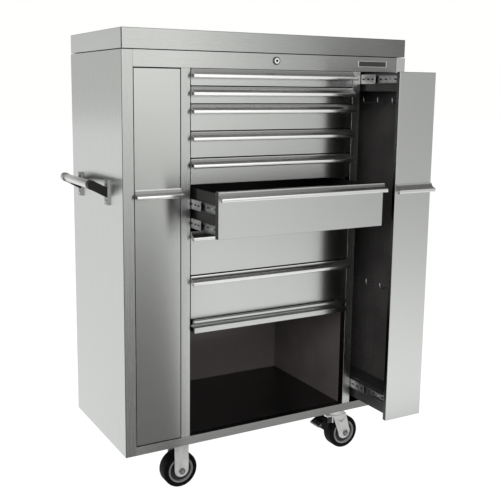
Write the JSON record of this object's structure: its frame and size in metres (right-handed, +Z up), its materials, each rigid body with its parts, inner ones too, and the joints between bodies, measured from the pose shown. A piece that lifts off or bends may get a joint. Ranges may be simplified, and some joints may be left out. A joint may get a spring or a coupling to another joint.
{
  "type": "rolling tool chest",
  "caption": "Tall stainless steel roller cabinet with drawers, pull-out tool racks at the sides, a flip-up door compartment and casters.",
  "frame": {"origin": "on the floor under the middle of the cabinet body", "axes": "+Z up, +X to the right across the front, +Y from the front face to the back"},
  "size_m": [1.1237, 0.694, 1.484],
  "materials": {
    "brushed_steel_skin": "brushed stainless sheet",
    "dark_paint": "satin charcoal powder coat",
    "zinc_plate": "zinc plated",
    "tyre": "matt black",
    "black_cast": "black painted casting",
    "grey_paint": "dark grey paint",
    "polished_steel": "polished"
  },
  "bodies": {
    "cabinet": {"side_panel_left": "brushed_steel_skin", "side_panel_right": "brushed_steel_skin", "back_panel": "brushed_steel_skin", "top_cap": "brushed_steel_skin", "header_rail": "brushed_steel_skin", "front_posts": "brushed_steel_skin", "bottom_rail": "brushed_steel_skin", "divider_walls": "dark_paint", "base_pan": "dark_paint", "bay_ceiling": "dark_paint", "door_tracks": "zinc_plate", "fixed_slides": "zinc_plate", "rigid_forks": "zinc_plate", "swivel_plates": "zinc_plate", "push_handle": "polished_steel", "handle_brackets": "black_cast", "lock_housing": "polished_steel"},
    "lock": {"lock_barrel": "polished_steel"},
    "door_runner": {"door_carriage": "zinc_plate"},
    "door": {"door_panel": "brushed_steel_skin"},
    "swivel_front": {"swivel_fork_front": "zinc_plate"},
    "swivel_rear": {"swivel_fork_rear": "zinc_plate"},
    "pedal_front": {"brake_pedal_front": "zinc_plate"},
    "pedal_rear": {"brake_pedal_rear": "zinc_plate"},
    "wheel_left_front_body": {"wheel_left_front": "tyre"},
    "wheel_left_rear_body": {"wheel_left_rear": "tyre"},
    "wheel_right_front_body": {"wheel_right_front": "tyre"},
    "wheel_right_rear_body": {"wheel_right_rear": "tyre"},
    "rack_left": {"rack_left_frame": "dark_paint", "rack_left_front": "brushed_steel_skin", "rack_left_pegboard": "grey_paint"},
    "rack_left_mid": {"rack_left_slides": "zinc_plate"},
    "rack_right": {"rack_right_frame": "dark_paint", "rack_right_front": "brushed_steel_skin", "rack_right_pegboard": "grey_paint"},
    "rack_right_mid": {"rack_right_slides": "zinc_plate"},
    "drawer_1_body": {"drawer_1": "dark_paint", "drawer_1_front": "brushed_steel_skin"},
    "drawer_1_mid": {"drawer_1_slides": "zinc_plate"},
    "drawer_2_body": {"drawer_2": "dark_paint", "drawer_2_front": "brushed_steel_skin"},
    "drawer_2_mid": {"drawer_2_slides": "zinc_plate"},
    "drawer_3_body": {"drawer_3": "dark_paint", "drawer_3_front": "brushed_steel_skin"},
    "drawer_3_mid": {"drawer_3_slides": "zinc_plate"},
    "drawer_4_body": {"drawer_4": "dark_paint", "drawer_4_front": "brushed_steel_skin"},
    "drawer_4_mid": {"drawer_4_slides": "zinc_plate"},
    "drawer_5_body": {"drawer_5": "dark_paint", "drawer_5_front": "brushed_steel_skin"},
    "drawer_5_mid": {"drawer_5_slides": "zinc_plate"},
    "drawer_6_body": {"drawer_6": "dark_paint", "drawer_6_front": "brushed_steel_skin"},
    "drawer_6_mid": {"drawer_6_slides": "zinc_plate"},
    "drawer_7_body": {"drawer_7": "dark_paint", "drawer_7_front": "brushed_steel_skin"},
    "drawer_7_mid": {"drawer_7_slides": "zinc_plate"},
    "drawer_8_body": {"drawer_8": "dark_paint", "drawer_8_front": "brushed_steel_skin"},
    "drawer_8_mid": {"drawer_8_slides": "zinc_plate"}
  },
  "joints": [
    {"name": "drawer_1_slide", "type": "slide", "parent": "cabinet", "child": "drawer_1_body", "axis": [0, -1, 0], "range_m": [0, 0.4]},
    {"name": "drawer_1_mid_slide", "type": "slide", "parent": "cabinet", "child": "drawer_1_mid", "axis": [0, -1, 0], "range_m": [0, 0.2]},
    {"name": "drawer_2_slide", "type": "slide", "parent": "cabinet", "child": "drawer_2_body", "axis": [0, -1, 0], "range_m": [0, 0.4]},
    {"name": "drawer_2_mid_slide", "type": "slide", "parent": "cabinet", "child": "drawer_2_mid", "axis": [0, -1, 0], "range_m": [0, 0.2]},
    {"name": "drawer_3_slide", "type": "slide", "parent": "cabinet", "child": "drawer_3_body", "axis": [0, -1, 0], "range_m": [0, 0.4]},
    {"name": "drawer_3_mid_slide", "type": "slide", "parent": "cabinet", "child": "drawer_3_mid", "axis": [0, -1, 0], "range_m": [0, 0.2]},
    {"name": "drawer_4_slide", "type": "slide", "parent": "cabinet", "child": "drawer_4_body", "axis": [0, -1, 0], "range_m": [0, 0.4]},
    {"name": "drawer_4_mid_slide", "type": "slide", "parent": "cabinet", "child": "drawer_4_mid", "axis": [0, -1, 0], "range_m": [0, 0.2]},
    {"name": "drawer_5_slide", "type": "slide", "parent": "cabinet", "child": "drawer_5_body", "axis": [0, -1, 0], "range_m": [0, 0.4]},
    {"name": "drawer_5_mid_slide", "type": "slide", "parent": "cabinet", "child": "drawer_5_mid", "axis": [0, -1, 0], "range_m": [0, 0.2]},
    {"name": "drawer_6_slide", "type": "slide", "parent": "cabinet", "child": "drawer_6_body", "axis": [0, -1, 0], "range_m": [-0.184, 0.216]},
    {"name": "drawer_6_mid_slide", "type": "slide", "parent": "cabinet", "child": "drawer_6_mid", "axis": [0, -1, 0], "range_m": [-0.092, 0.108]},
    {"name": "drawer_7_slide", "type": "slide", "parent": "cabinet", "child": "drawer_7_body", "axis": [0, -1, 0], "range_m": [0, 0.4]},
    {"name": "drawer_7_mid_slide", "type": "slide", "parent": "cabinet", "child": "drawer_7_mid", "axis": [0, -1, 0], "range_m": [0, 0.2]},
    {"name": "drawer_8_slide", "type": "slide", "parent": "cabinet", "child": "drawer_8_body", "axis": [0, -1, 0], "range_m": [0, 0.4]},
    {"name": "drawer_8_mid_slide", "type": "slide", "parent": "cabinet", "child": "drawer_8_mid", "axis": [0, -1, 0], "range_m": [0, 0.2]},
    {"name": "rack_left_slide", "type": "slide", "parent": "cabinet", "child": "rack_left", "axis": [0, -1, 0], "range_m": [0, 0.4]},
    {"name": "rack_left_mid_slide", "type": "slide", "parent": "cabinet", "child": "rack_left_mid", "axis": [0, -1, 0], "range_m": [0, 0.2]},
    {"name": "rack_right_slide", "type": "slide", "parent": "cabinet", "child": "rack_right", "axis": [0, -1, 0], "range_m": [-0.201, 0.199]},
    {"name": "rack_right_mid_slide", "type": "slide", "parent": "cabinet", "child": "rack_right_mid", "axis": [0, -1, 0], "range_m": [-0.1005, 0.0995]},
    {"name": "door_slide", "type": "slide", "parent": "cabinet", "child": "door_runner", "axis": [0, -1, 0], "range_m": [0, 0.327]},
    {"name": "door_hinge", "type": "hinge", "parent": "door_runner", "child": "door", "pos_m": [0, 0.1015, 0.5525], "axis": [1, 0, 0], "range_deg": [0, 90]},
    {"name": "lock_turn", "type": "hinge", "parent": "cabinet", "child": "lock", "pos_m": [0, -0.234, 1.4], "axis": [0, -1, 0], "range_deg": [0, 90]},
    {"name": "swivel_front_turn", "type": "hinge", "parent": "cabinet", "child": "swivel_front", "pos_m": [0.317, -0.168, 0.134], "axis": [0, 0, 1], "continuous": true},
    {"name": "pedal_front_press", "type": "hinge", "parent": "swivel_front", "child": "pedal_front", "pos_m": [0.277, -0.168, 0.118], "axis": [0, -1, 0], "range_deg": [0, 12]},
    {"name": "wheel_left_front_roll", "type": "hinge", "parent": "cabinet", "child": "wheel_left_front_body", "pos_m": [-0.317, -0.168, 0.06], "axis": [0, 1, 0], "continuous": true},
    {"name": "wheel_right_front_roll", "type": "hinge", "parent": "swivel_front", "child": "wheel_right_front_body", "pos_m": [0.349, -0.168, 0.06], "axis": [0, 1, 0], "continuous": true},
    {"name": "swivel_rear_turn", "type": "hinge", "parent": "cabinet", "child": "swivel_rear", "pos_m": [0.317, 0.168, 0.134], "axis": [0, 0, 1], "continuous": true},
    {"name": "pedal_rear_press", "type": "hinge", "parent": "swivel_rear", "child": "pedal_rear", "pos_m": [0.277, 0.168, 0.118], "axis": [0, -1, 0], "range_deg": [0, 12]},
    {"name": "wheel_left_rear_roll", "type": "hinge", "parent": "cabinet", "child": "wheel_left_rear_body", "pos_m": [-0.317, 0.168, 0.06], "axis": [0, 1, 0], "continuous": true},
    {"name": "wheel_right_rear_roll", "type": "hinge", "parent": "swivel_rear", "child": "wheel_right_rear_body", "pos_m": [0.349, 0.168, 0.06], "axis": [0, 1, 0], "continuous": true}
  ],
  "couplings": [
    {"joint": "drawer_1_mid_slide", "follows": "drawer_1_slide", "ratio": 0.5},
    {"joint": "drawer_2_mid_slide", "follows": "drawer_2_slide", "ratio": 0.5},
    {"joint": "drawer_3_mid_slide", "follows": "drawer_3_slide", "ratio": 0.5},
    {"joint": "drawer_4_mid_slide", "follows": "drawer_4_slide", "ratio": 0.5},
    {"joint": "drawer_5_mid_slide", "follows": "drawer_5_slide", "ratio": 0.5},
    {"joint": "drawer_6_mid_slide", "follows": "drawer_6_slide", "ratio": 0.5},
    {"joint": "drawer_7_mid_slide", "follows": "drawer_7_slide", "ratio": 0.5},
    {"joint": "drawer_8_mid_slide", "follows": "drawer_8_slide", "ratio": 0.5},
    {"joint": "rack_left_mid_slide", "follows": "rack_left_slide", "ratio": 0.5},
    {"joint": "rack_right_mid_slide", "follows": "rack_right_slide", "ratio": 0.5}
  ]
}
